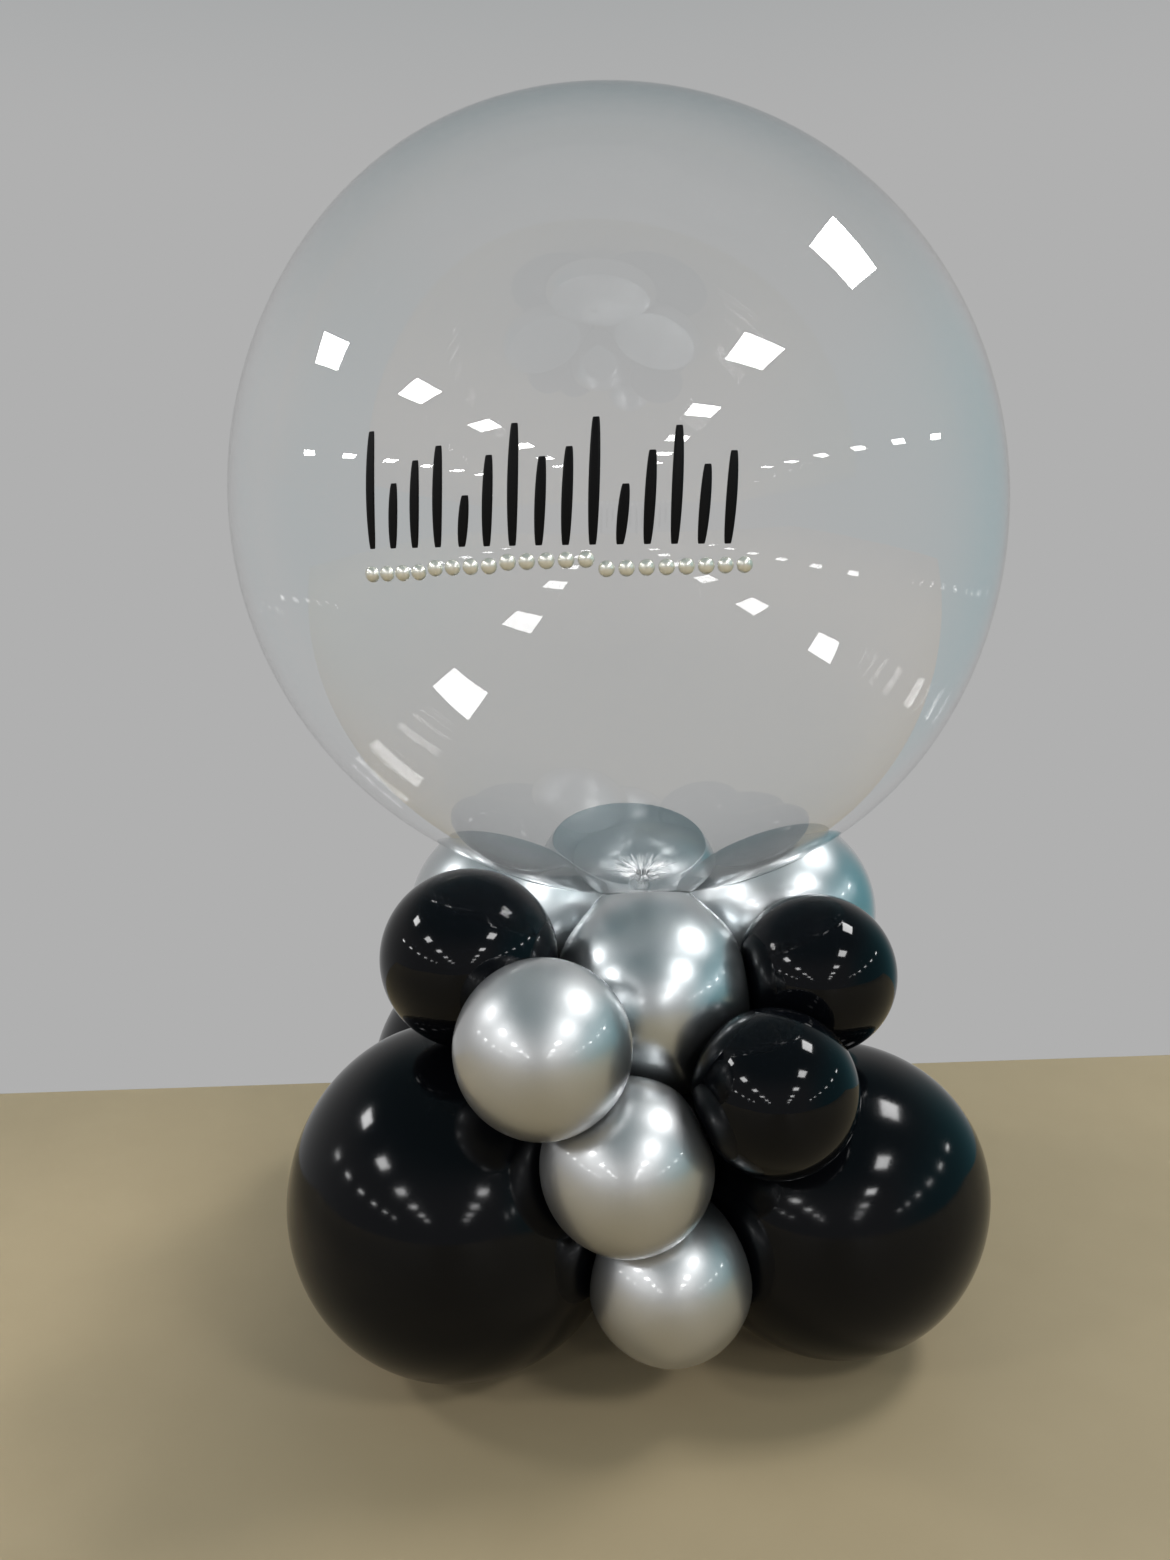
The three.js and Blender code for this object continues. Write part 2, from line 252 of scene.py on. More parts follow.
def skin(ball, name, pole, tilts, sides, material):
    """A balloon's skin in rings round a pole."""
    ways = ways_round(pole, tilts, sides).reshape(-1, 3)
    ways = np.vstack([pole, ways, -pole])
    points = ball.middle + ways * latex_reach(ball, ways)[:, None]
    points[np.abs(points[:, 2]) < LEVEL, 2] = 0
    return plain_mesh(name, points, ring_faces(len(tilts), sides), material)


# ------------------------------------------------------------------ colours and nodes
def linear(colour):
    """An sRGB hex colour as linear red, green, blue and alpha."""
    parts = [int(colour[i:i + 2], 16) / 255 for i in (1, 3, 5)]
    return [c / 12.92 if c <= 0.04045 else ((c + 0.055) / 1.055) ** 2.4 for c in parts] + [1.0]


def add(tree, kind, inputs=None, **settings):
    """One node, with its settings, and its inputs set to values or linked from sockets."""
    node = tree.nodes.new(kind)
    for name, value in settings.items():
        setattr(node, name, value)
    for name, value in (inputs or {}).items():
        if isinstance(value, bpy.types.NodeSocket):
            tree.links.new(value, node.inputs[name])
        else:
            node.inputs[name].default_value = value
    return node


def new_material(name):
    material = bpy.data.materials.new(name)
    material.use_nodes = True
    material.node_tree.nodes.clear()
    return material, material.node_tree


def per_metre(size_mm):
    """A noise's scale for features of this size, on coordinates in metres."""
    return 1 / (size_mm * MM)


def set_inputs(piece, tree, values):
    """Puts a node tree on a piece as a modifier, with its named inputs set."""
    modifier = piece.modifiers.new(tree.name, "NODES")
    modifier.node_group = tree
    sockets = {item.name: item.identifier for item in tree.interface.items_tree
               if item.in_out == "INPUT"}
    for name, value in values.items():
        modifier[sockets[name]] = value


def made_plain(source, *helpers):
    """The evaluated result of a piece's node tree as a plain mesh object of the same name."""
    depsgraph = bpy.context.evaluated_depsgraph_get()
    mesh = bpy.data.meshes.new_from_object(source.evaluated_get(depsgraph))
    name = source.name
    for old in (source, *helpers):
        bpy.data.objects.remove(old)
    piece = bpy.data.objects.new(name, mesh)
    bpy.context.collection.objects.link(piece)
    mesh.shade_smooth()
    return piece


# ------------------------------------------------------------------ finishes
def black_latex(name, gloss_low, gloss_high, bloom_mm):
    """Natural rubber latex, dipped and blown up tight: a deep, even black under a thin wet gloss.
    Where the skin is stretched less, a faint dry bloom breaks up the edges of its highlights."""
    material, tree = new_material(name)
    place = add(tree, "ShaderNodeTexCoord").outputs["Object"]
    stretch = add(tree, "ShaderNodeTexNoise",
                  {"Vector": place, "Scale": per_metre(45), "Detail": 3.0})
    bloom = add(tree, "ShaderNodeTexNoise",
                {"Vector": place, "Scale": per_metre(bloom_mm), "Detail": 3.0})
    both = add(tree, "ShaderNodeMath",
               {0: stretch.outputs["Fac"], 1: bloom.outputs["Fac"]}, operation="MULTIPLY")
    gloss = add(tree, "ShaderNodeMapRange",
                {"Value": both.outputs[0], "From Min": 0.15, "From Max": 0.4,
                 "To Min": gloss_low, "To Max": gloss_high})
    bump = add(tree, "ShaderNodeBump",
               {"Strength": 0.03, "Distance": 0.1 * MM, "Height": bloom.outputs["Fac"]})
    shader = add(tree, "ShaderNodeBsdfPrincipled",
                 {"Base Color": linear("#06070A"), "Roughness": gloss.outputs["Result"],
                  "IOR": 1.27, "Normal": bump.outputs["Normal"]})
    add(tree, "ShaderNodeOutputMaterial", {"Surface": shader.outputs[0]})
    return material


def silver_latex(name, satin_low, satin_high, tone_low, tone_high, glaze):
    """Latex filled with aluminium flake under a clear outer skin, blown up tight: a satin mirror
    that shows its surroundings as soft light and dark areas, with a wet glint on each lamp. The
    further the skin is stretched, the more open the flake lies and the duller the mirror is."""
    material, tree = new_material(name)
    place = add(tree, "ShaderNodeTexCoord").outputs["Object"]
    stretch = add(tree, "ShaderNodeTexNoise",
                  {"Vector": place, "Scale": per_metre(30), "Detail": 3.0})
    satin = add(tree, "ShaderNodeMapRange",
                {"Value": stretch.outputs["Fac"], "From Min": 0.3, "From Max": 0.7,
                 "To Min": satin_low, "To Max": satin_high})
    flake = add(tree, "ShaderNodeTexNoise",
                {"Vector": place, "Scale": per_metre(0.9), "Detail": 2.0})
    tone = add(tree, "ShaderNodeMix",
               {"Factor": flake.outputs["Fac"], "A": linear(tone_low), "B": linear(tone_high)},
               data_type="RGBA")
    shader = add(tree, "ShaderNodeBsdfPrincipled",
                 {"Base Color": tone.outputs["Result"], "Metallic": 1.0,
                  "Roughness": satin.outputs["Result"], "Coat Weight": 1.0,
                  "Coat Roughness": glaze, "Coat IOR": 1.5})
    add(tree, "ShaderNodeOutputMaterial", {"Surface": shader.outputs[0]})
    return material


# Creases of the film beside the neck: their spacing round the knot and along themselves, how white
# the painted highlights along them are and how rough they are, and how far from the knot they fade
# out, first the painted dark shade, then the painted highlights.
CREASE_ROUGHNESS_AND_PAINTED_LIGHT = {"round": 11, "along": 45, "white": 0.9, "rough": 0.15, "glint_from": 7 * MM,
           "glint_to": 30 * MM, "shade_from": 5 * MM, "shade_to": 7.5 * MM}


def clear_film():
    """Stretched thermoplastic film of a twentieth of a millimetre, made thicker here: colourless
    and clear, with sharp reflections on its front and back skins. Where it is gathered into the
    neck it is rougher along its creases, with painted white highlights along them, and close round the
    knot it is tinted with painted dark shade where it lies on the black elastic."""
    material, tree = new_material("clear_stretched_film")
    place = add(tree, "ShaderNodeTexCoord").outputs["Object"]
    pull = add(tree, "ShaderNodeTexNoise",
               {"Vector": place, "Scale": per_metre(120), "Detail": 1.0})
    bump = add(tree, "ShaderNodeBump",
               {"Strength": 0.02, "Distance": 1 * MM, "Height": pull.outputs["Fac"]})
    from_knot = add(tree, "ShaderNodeVectorMath",
                    {0: place, 1: tuple(bubble.knot)}, operation="SUBTRACT")
    parts = add(tree, "ShaderNodeSeparateXYZ", {"Vector": from_knot.outputs[0]})
    turn = add(tree, "ShaderNodeMath",
               {0: parts.outputs["Y"], 1: parts.outputs["X"]}, operation="ARCTAN2")
    length = add(tree, "ShaderNodeVectorMath", {0: from_knot.outputs[0]}, operation="LENGTH")
    away = length.outputs["Value"]
    fan = add(tree, "ShaderNodeCombineXYZ", {"X": turn.outputs[0], "Y": away})
    spread = add(tree, "ShaderNodeVectorMath",
                 {0: fan.outputs[0], 1: (CREASE_ROUGHNESS_AND_PAINTED_LIGHT["round"], CREASE_ROUGHNESS_AND_PAINTED_LIGHT["along"], 1)},
                 operation="MULTIPLY")
    glint_and_shade_streaks = add(tree, "ShaderNodeTexNoise",
                 {"Vector": spread.outputs[0], "Scale": 1.0, "Detail": 3.0, "Roughness": 0.65})
    # Painted highlights: white, less clear streaks along the creases stand in for the glints of the
    # lamps on them, and they fade out away from the knot.
    painted_glint_lines = add(tree, "ShaderNodeMapRange",
                {"Value": glint_and_shade_streaks.outputs["Fac"], "From Min": 0.48, "From Max": 0.62})
    glint_and_rough_fade = add(tree, "ShaderNodeMapRange",
                {"Value": away, "From Min": CREASE_ROUGHNESS_AND_PAINTED_LIGHT["glint_from"], "From Max": CREASE_ROUGHNESS_AND_PAINTED_LIGHT["glint_to"],
                 "To Min": CREASE_ROUGHNESS_AND_PAINTED_LIGHT["white"], "To Max": 0.0}, interpolation_type="SMOOTHSTEP")
    white = add(tree, "ShaderNodeMath",
                {0: painted_glint_lines.outputs["Result"], 1: glint_and_rough_fade.outputs["Result"]}, operation="MULTIPLY")
    clear = add(tree, "ShaderNodeMath", {0: 1.0, 1: white.outputs[0]}, operation="SUBTRACT")
    crease = add(tree, "ShaderNodeMath",
                 {0: glint_and_rough_fade.outputs["Result"], 1: CREASE_ROUGHNESS_AND_PAINTED_LIGHT["rough"]}, operation="MULTIPLY")
    # Painted shade: close round the knot the film is tinted dark in the streaks between the painted
    # highlights.
    painted_shade_near_knot = add(tree, "ShaderNodeMapRange",
                 {"Value": away, "From Min": CREASE_ROUGHNESS_AND_PAINTED_LIGHT["shade_from"], "From Max": CREASE_ROUGHNESS_AND_PAINTED_LIGHT["shade_to"],
                  "To Min": 1.0, "To Max": 0.0})
    painted_shade_streaks = add(tree, "ShaderNodeMapRange",
               {"Value": glint_and_shade_streaks.outputs["Fac"], "From Min": 0.48, "From Max": 0.6,
                "To Min": 1.0, "To Max": 0.0})
    dark = add(tree, "ShaderNodeMath",
               {0: painted_shade_near_knot.outputs["Result"], 1: painted_shade_streaks.outputs["Result"]}, operation="MULTIPLY")
    # The film's tint: clear white, turning to the dark painted shade near the knot.
    tone = add(tree, "ShaderNodeMix",
               {"Factor": dark.outputs[0], "A": linear("#FFFFFF"), "B": linear("#1A1B1D")},
               data_type="RGBA")
    shader = add(tree, "ShaderNodeBsdfPrincipled",
                 {"Base Color": tone.outputs["Result"], "Roughness": crease.outputs[0],
                  "IOR": 1.45, "Transmission Weight": clear.outputs[0],
                  "Normal": bump.outputs["Normal"]})
    add(tree, "ShaderNodeOutputMaterial", {"Surface": shader.outputs[0]})
    return material


def black_vinyl():
    """Calendered adhesive vinyl, cut and laid by hand: black, satin, with a faint grain."""
    material, tree = new_material("black_satin_vinyl")
    place = add(tree, "ShaderNodeTexCoord").outputs["Object"]
    grain = add(tree, "ShaderNodeTexNoise",
                {"Vector": place, "Scale": per_metre(0.8), "Detail": 3.0})
    bump = add(tree, "ShaderNodeBump",
               {"Strength": 0.08, "Distance": 0.05 * MM, "Height": grain.outputs["Fac"]})
    shader = add(tree, "ShaderNodeBsdfPrincipled",
                 {"Base Color": linear("#060608"), "Roughness": 0.42, "IOR": 1.22,
                  "Normal": bump.outputs["Normal"]})
    add(tree, "ShaderNodeOutputMaterial", {"Surface": shader.outputs[0]})
    return material


def cream_pearl():
    """Moulded acrylic half-beads with a pearl lacquer: milky cream that goes olive grey towards the
    rim, under a glassy coat."""
    material, tree = new_material("cream_pearl_lacquer")
    edge = add(tree, "ShaderNodeLayerWeight", {"Blend": 0.45})
    tone = add(tree, "ShaderNodeMix",
               {"Factor": edge.outputs["Facing"], "A": linear("#EBEAE2"), "B": linear("#B4B19A")},
               data_type="RGBA")
    shader = add(tree, "ShaderNodeBsdfPrincipled",
                 {"Base Color": tone.outputs["Result"], "Metallic": 0.6, "Roughness": 0.3,
                  "Coat Weight": 1.0, "Coat Roughness": 0.03})
    add(tree, "ShaderNodeOutputMaterial", {"Surface": shader.outputs[0]})
    return material


finishes = {
    "black_latex": black_latex("black_wet_latex", 0.04, 0.09, 1.2),
    "black_latex_bloomed": black_latex("black_bloomed_latex", 0.08, 0.17, 0.9),
    "silver_latex": silver_latex("silver_flake_latex", 0.39, 0.43, "#BEBFC0", "#C3C4C5", 0.1),
    "silver_latex_full": silver_latex("silver_flake_latex_full",
                                      0.29, 0.33, "#BEC2C4", "#C4C8CA", 0.08),
    "clear_film": clear_film(),
    "black_vinyl": black_vinyl(),
    "cream_pearl": cream_pearl(),
}


def place_in(piece, slot, *nodes):
    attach(piece, "root")
    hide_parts(*nodes)


# ------------------------------------------------------------------ camera
EYE = (-0.027, -0.816, 0.5)  # eye height of someone seated at the table
LOOK = {"down": math.radians(9.413), "roll": math.radians(1.899)}
LENS = {"sensor": 36, "length": 27.05}


def make_camera():
    right = Vector((1, 0, 0))
    ahead = Vector((0, math.cos(LOOK["down"]), -math.sin(LOOK["down"])))
    above = right.cross(ahead)
    side = math.cos(LOOK["roll"]) * right - math.sin(LOOK["roll"]) * above
    top = math.sin(LOOK["roll"]) * right + math.cos(LOOK["roll"]) * above
    camera = bpy.data.objects.new("camera", bpy.data.cameras.new("camera"))
    camera.matrix_world = Matrix((side, top, -ahead)).transposed().to_4x4()
    camera.location = Vector(EYE)
    camera.data.sensor_width = LENS["sensor"]
    camera.data.lens = LENS["length"]
    bpy.context.collection.objects.link(camera)
    bpy.context.scene.camera = camera


make_camera()

# ------------------------------------------------------------------ the latex balloons
BASE_SKIN = {"rings": 62, "sides": 112}
CASCADE_SKIN = {"rings": 60, "sides": 96}
DISHED_SKIN = {"dish": 30, "rest": 56, "sides": 200}
CUPPED_SKIN = {"dish": 50, "rest": 80, "sides": 300}  # finer, for the cup in its dish
FOOT_SHARE = 0.97  # a base balloon's first ring, as a share of the tilt where it leaves the floor
RIM_SEARCH = {"from": 0.05, "to": 1.5, "count": 400}  # tilts between which a dish's rim lies
RIM_CLEAR = 1 * MM  # the skin is past the rim where it is this far from the film
RIM_RINGS = (-0.03, -0.012, -0.004, 0, 0.004, 0.012, 0.03)  # tilts of the rings beside the rim

share_walls(base + collar + cascade)
cut_cup(collar[3])  # the back one


def make_base():
    """The first ring of a base balloon lies in its flat foot, and the others run up to its crown."""
    down = np.array([0, 0, -1.0])
    for ball in base:
        foot = FOOT_SHARE * math.acos(ball.middle[2] / ball.radius)
        tilts = np.concatenate([[foot], steps(foot, math.pi, BASE_SKIN["rings"])])
        piece = skin(ball, ball.node + "_skin", down, tilts, BASE_SKIN["sides"],
                     finishes["black_latex_bloomed"])
        place_in(piece, "black_latex", ball.node)


def dish_rim(ball, up, sides):
    """How far each side of a balloon tilts from the middle of its dish to leave the film."""
    tilts = np.linspace(RIM_SEARCH["from"], RIM_SEARCH["to"], RIM_SEARCH["count"])
    ways = ways_round(up, tilts, sides).reshape(-1, 3)
    clear = (reach_to_film(ball, ways) - reach_to_walls(ball, ways)).reshape(-1, sides)
    clear = np.clip(clear, -RIM_CLEAR, RIM_CLEAR)
    after = np.argmax(clear > 0, axis=0)
    side = np.arange(sides)
    before = clear[after - 1, side]
    share = before / (before - clear[after, side])
    return tilts[after - 1] + share * (tilts[1] - tilts[0])


def make_collar():
    """The rings of a collar balloon run round its dish, crowded at the rim."""
    for ball in collar:
        form = DISHED_SKIN if ball.cup is None else CUPPED_SKIN
        up = unit(*(bubble.middle - ball.middle))
        rim = dish_rim(ball, up, form["sides"])
        beside = RIM_RINGS[-1]
        inside = [(rim - beside) * share for share in steps(0, 1, form["dish"])]
        crowded = [rim + turn for turn in RIM_RINGS]
        outside = [rim + beside + (math.pi - rim - beside) * share
                   for share in steps(0, 1, form["rest"])]
        tilts = np.array(inside + crowded + outside)
        piece = skin(ball, ball.node + "_skin", up, tilts, form["sides"],
                     finishes["silver_latex_full"])
        place_in(piece, "silver_latex", ball.node)


def make_cascade():
    """The rings of a cascade balloon run round its knot."""
    tilts = steps(0, math.pi, CASCADE_SKIN["rings"])
    for ball in cascade:
        slot = "silver_latex" if "silver" in ball.node else "black_latex"
        piece = skin(ball, ball.node + "_skin", ball.knot_way, tilts, CASCADE_SKIN["sides"],
                     finishes[slot])
        place_in(piece, slot, ball.node)


make_base()
make_collar()
make_cascade()

# ------------------------------------------------------------------ the bubble's film
# Rings close to the knot's way make the pleats up to neck_tilt, and wider ones the rest.
FILM = {"thickness": 0.25 * MM, "sides": 360, "neck_rings": 34, "rings": 96, "first_tilt": 0.018,
        "neck_tilt": 0.15}
# Soft pleats, from the shortest to the longest tilt that they reach. Their lengths follow the
# product of a slow and a quick wave round the neck, and the tie crimps the stub by a share.
PLEATS = {"count": 34, "depth": 2.4 * MM, "shortest": 0.06, "longest": 0.12, "slow": 5,
          "shift": 1.3, "quick": 11, "crimp": 0.12}
CROWDING = ((0.12, 3, 1), (0.06, 7, 0))  # waves that crowd the pleats: size, count and shift
# Rings of the stub, from its open end up: the share of its length and the radius.
STUB = ((1.0, NECK["tail"]), (0.9, 0.95 * NECK["tail"]), (0.7, NECK["radius"]),
        (0.3, NECK["radius"]))


def neck_top():
    """How far the top of the stub is from the bubble's middle."""
    return film_reach(bubble.knot_way[None])[0] - NECK["overlap"]


def pleat_depth(turns, tilt):
    """How deep the pleats are that run out of the neck and fade into the smooth film."""
    uneven = turns
    for size, count, shift in CROWDING:
        uneven = uneven + size * np.sin(count * turns + shift)
    fold = np.abs(np.mod(PLEATS["count"] * uneven / (2 * math.pi), 1) * 2 - 1)
    slow = np.sin(PLEATS["slow"] * turns + PLEATS["shift"])
    mixed = 0.5 + 0.5 * slow * np.sin(PLEATS["quick"] * turns)
    length = PLEATS["shortest"] + (PLEATS["longest"] - PLEATS["shortest"]) * mixed
    return PLEATS["depth"] * np.clip(1 - tilt / length, 0, 1) * fold


def stub_rings(inset):
    """The stub of the neck, crimped by the tie, from its open end up."""
    way = bubble.knot_way
    first, second = square_to(way)
    turns = -2 * math.pi * np.arange(FILM["sides"]) / FILM["sides"]
    crimp = 1 - PLEATS["crimp"] * (0.5 + 0.5 * np.cos(PLEATS["count"] * turns))
    rings = []
    for share, radius in STUB:
        spread = ((radius - inset) * crimp)[:, None]
        ring = np.cos(turns)[:, None] * first * spread + np.sin(turns)[:, None] * second * spread
        rings.append(bubble.middle + way * (neck_top() + share * NECK["stub"] - inset) + ring)
    return rings


def film_points(inset):
    """One side of the film, with its number of rings: the end of the stub, the stub, then rings
    from the flare to the crown."""
    way = bubble.knot_way
    sides = FILM["sides"]
    tilts = np.concatenate([steps(FILM["first_tilt"], FILM["neck_tilt"], FILM["neck_rings"]),
                            steps(FILM["neck_tilt"], math.pi, FILM["rings"])])
    ways = ways_round(way, tilts, sides).reshape(-1, 3)
    turns = np.tile(2 * math.pi * np.arange(sides) / sides, len(tilts))
    reach = film_reach(ways) - pleat_depth(turns, np.repeat(tilts, sides)) - inset
    rings = bubble.middle + ways * reach[:, None]
    stub = stub_rings(inset)
    end = bubble.middle + way * (neck_top() + NECK["stub"] - inset)
    crown = bubble.middle - way * (film_reach(-way[None])[0] - inset)
    return np.vstack([end[None], *stub, rings, crown[None]]), len(stub) + len(tilts)


def make_film():
    """Two skins, one inside the other. The real film all but casts no shadow."""
    outer, rings = film_points(0)
    inner, _ = film_points(FILM["thickness"])
    faces = ring_faces(rings, FILM["sides"])
    faces += [face[::-1] for face in ring_faces(rings, FILM["sides"], start=len(outer))]
    points = np.vstack([outer, inner])
    piece = plain_mesh("clear_bubble_film", points, faces, finishes["clear_film"])
    piece.visible_shadow = False
    place_in(piece, "clear_film", "clear_bubble")


make_film()


# ------------------------------------------------------------------ strokes and pearls on the front
def on_front(across, up, lift):
    """Places on the front of the film: across to the right and up, along the film, in metres."""
    turn = np.asarray(across) / bubble.radius
    rise = np.asarray(up) / bubble.radius
    ways = np.stack([np.sin(turn) * np.cos(rise), -np.cos(turn) * np.cos(rise), np.sin(rise)],
                    axis=-1)
    flat = ways.reshape(-1, 3)
    reach = bubble.free_reach(flat) + np.broadcast_to(lift, ways.shape[:-1]).reshape(-1)
    return (bubble.middle + flat * reach[:, None]).reshape(ways.shape), ways


VINYL = {"width": 5.4 * MM, "tip": 2.8 * MM, "end": 0.6, "lean": 3.5 * MM, "thickness": 0.15 * MM,
         "lift": 0.1 * MM, "steps": 40}
# A stroke's outline, as shares of its half width and of its thickness.
VINYL_OUTLINE = ((-1, 0), (-1, 1), (-0.5, 1), (0, 1), (0.5, 1), (1, 1), (1, 0), (0, 0))
STROKE_ROW = {"from": -133 * MM, "to": 49 * MM, "foot_from": -27 * MM, "foot_to": -31 * MM}
STROKE_HEADS = (30, 4, 14, 20, -4, 14, 28, 12, 16, 29, -2, 13, 24, 6, 12)  # heights in mm


def stroke_mesh(name, across, foot, head):
    """A tapered stroke from its foot to its head: a tube of rings with two flat ends."""
    t = (1 - np.cos(math.pi * np.arange(VINYL["steps"] + 1) / VINYL["steps"])) / 2
    up = foot + (head - foot) * t
    swell = np.sqrt(np.sin(math.pi * np.clip(t, 0, 1)).clip(0))
    half = (VINYL["tip"] + (VINYL["width"] - VINYL["tip"]) * swell) / 2
    half[0] = half[-1] = VINYL["end"] * VINYL["tip"] / 2
    middle = across + VINYL["lean"] * (t - 0.5)
    rows = []
    for share, lift in VINYL_OUTLINE:
        row, _ = on_front(middle + share * half, up, VINYL["lift"] + lift * VINYL["thickness"])
        rows.append(row)
    points = np.stack(rows, axis=1).reshape(-1, 3)
    sides = len(rows)
    faces = []
    for ring in range(len(t) - 1):
        for side in range(sides):
            near = ring * sides + side
            after = ring * sides + (side + 1) % sides
            faces.append((near, after, after + sides, near + sides))
    end = (len(t) - 1) * sides
    faces.append(tuple(range(sides))[::-1])
    faces.append(tuple(end + side for side in range(sides)))
    piece = plain_mesh(name + "_cut", points, faces, finishes["black_vinyl"])
    for face in piece.data.polygons:
        face.use_smooth = len(face.vertices) == 4
    return piece


def make_strokes():
    for index, head in enumerate(STROKE_HEADS):
        along = index / (len(STROKE_HEADS) - 1)
        across = STROKE_ROW["from"] + (STROKE_ROW["to"] - STROKE_ROW["from"]) * along
        foot = STROKE_ROW["foot_from"] + (STROKE_ROW["foot_to"] - STROKE_ROW["foot_from"]) * along
        name = f"vinyl_stroke_{index + 1:02d}"
        place_in(stroke_mesh(name, across, foot, head * MM), "black_vinyl", name)


make_strokes()

PEARL = {"radius": 4.1 * MM, "height": 3.9 * MM, "lift": 0.1 * MM, "sides": 28, "smallest": 0.97}
PEARL_EDGE = ((0.93, 0.0), (1.0, 0.08), (1.0, 0.2))  # shares of its radius and height
PEARL_DOME = {"from": 0.15, "to": 1.5, "rings": 9}  # tilts above the edge
PEARL_ROW = {"from": -136.7 * MM, "to": 55.9 * MM}
PEARL_RUNS = ((4, -39.5), (4, -37.8), (5, -36.3), (8, -41))  # how many, and their height in mm


def half_pearl():
    """One half-bead standing on its flat back at the origin, with a rolled lower edge."""
    edge = PEARL_EDGE[-1][1]
    profile = list(PEARL_EDGE)
    profile += [(math.cos(tilt), edge + (1 - edge) * math.sin(tilt))
                for tilt in np.linspace(PEARL_DOME["from"], PEARL_DOME["to"], PEARL_DOME["rings"])]
    sides = PEARL["sides"]
    turns = 2 * math.pi * np.arange(sides) / sides
    rings = []
    for share, rise in profile:
        radius = share * PEARL["radius"]
        rings.append(np.stack([radius * np.cos(turns), radius * np.sin(turns),
                               np.full(sides, rise * PEARL["height"])], axis=-1))
    points = np.vstack([[[0, 0, 0]], *rings, [[0, 0, PEARL["height"]]]])
    faces = ring_faces(len(rings), sides)
    return plain_mesh("half_pearl", points, faces, finishes["cream_pearl"])


def make_pearls():
    """The row of pearls: one is set on each place of a line of points and turned to the film."""
    ups = np.array([up * MM for count, up in PEARL_RUNS for _ in range(count)])
    across = np.linspace(PEARL_ROW["from"], PEARL_ROW["to"], len(ups))
    points, ways = on_front(across, ups, PEARL["lift"])
    line = bpy.data.meshes.new("pearl_places")
    line.from_pydata([tuple(p) for p in points], [], [])
    outward = line.attributes.new("outward", "FLOAT_VECTOR", "POINT")
    outward.data.foreach_set("vector", ways.ravel())
    row = bpy.data.objects.new("pearl_row", line)
    bpy.context.collection.objects.link(row)
    bead = half_pearl()

    tree = bpy.data.node_groups.new("set_pearls", "GeometryNodeTree")
    tree.interface.new_socket("Geometry", in_out="INPUT", socket_type="NodeSocketGeometry")
    tree.interface.new_socket("Pearl", in_out="INPUT", socket_type="NodeSocketObject")
    tree.interface.new_socket("Size", in_out="INPUT", socket_type="NodeSocketFloat")
    tree.interface.new_socket("Geometry", in_out="OUTPUT", socket_type="NodeSocketGeometry")
    given = add(tree, "NodeGroupInput")
    way = add(tree, "GeometryNodeInputNamedAttribute", {"Name": "outward"},
              data_type="FLOAT_VECTOR")
    turned = add(tree, "FunctionNodeAlignRotationToVector",
                 {"Vector": way.outputs["Attribute"]}, axis="Z")
    shape = add(tree, "GeometryNodeObjectInfo", {"Object": given.outputs["Pearl"]})
    spots = add(tree, "GeometryNodeMeshToPoints", {"Mesh": given.outputs["Geometry"]})
    size = add(tree, "FunctionNodeRandomValue",
               {2: PEARL["smallest"], 3: 1.0, "Seed": 4}, data_type="FLOAT")
    sized = add(tree, "ShaderNodeMath",
                {0: size.outputs[1], 1: given.outputs["Size"]}, operation="MULTIPLY")
    beads = add(tree, "GeometryNodeInstanceOnPoints",
                {"Points": spots.outputs[0], "Instance": shape.outputs["Geometry"],
                 "Rotation": turned.outputs[0], "Scale": sized.outputs[0]})
    real = add(tree, "GeometryNodeRealizeInstances", {"Geometry": beads.outputs[0]})
    painted = add(tree, "GeometryNodeSetMaterial",
                  {"Geometry": real.outputs[0], "Material": finishes["cream_pearl"]})
    add(tree, "NodeGroupOutput", {"Geometry": painted.outputs[0]})

    set_inputs(row, tree, {"Pearl": bead, "Size": 1.0})
    names = [f"pearl_{number + 1:02d}" for number in range(len(ups))]
    place_in(made_plain(row, bead), "cream_pearl", *names)


make_pearls()

# ------------------------------------------------------------------ the tie
TIE = {"strand": 0.8 * MM, "winds": 2.6, "place": 0.4, "pitch": 1.15 * MM, "clear": 0.6 * MM,
       "turn_steps": 40, "sides": 10}


